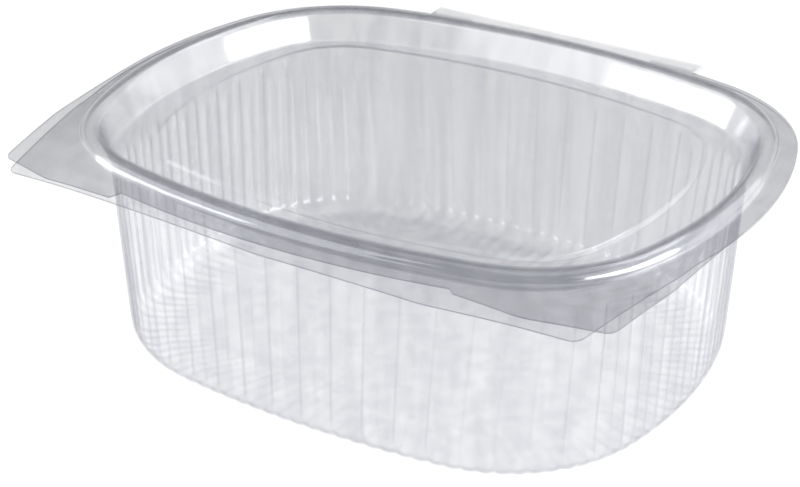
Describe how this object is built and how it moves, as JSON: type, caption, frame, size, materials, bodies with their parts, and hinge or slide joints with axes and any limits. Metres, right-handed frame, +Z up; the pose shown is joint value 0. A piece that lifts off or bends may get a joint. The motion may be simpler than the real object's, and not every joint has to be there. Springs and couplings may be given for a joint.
{
  "type": "takeaway meal container",
  "caption": "Clear thermoformed tub with fluted walls and a hinged clear lid that snaps over the rim, for takeaway and deli meals.",
  "frame": {"origin": "on the floor the tub rests on, under the middle of the tub", "axes": "+Z up; +X along the long side; the opening edge with its two corner tabs faces -Y and the hinge is at +Y"},
  "size_m": [0.191, 0.1621, 0.0644],
  "materials": {
    "tub_plastic": "clear glossy thermoformed plastic",
    "lid_plastic": "clear glossy thermoformed plastic"
  },
  "bodies": {
    "base": {"tub": "tub_plastic"},
    "lid": {"lid": "lid_plastic"}
  },
  "joints": [
    {"name": "lid_hinge", "type": "hinge", "parent": "base", "child": "lid", "pos_m": [0, 0.0812, 0.06115], "axis": [-1, 0, 0], "range_deg": [0, 175]}
  ]
}
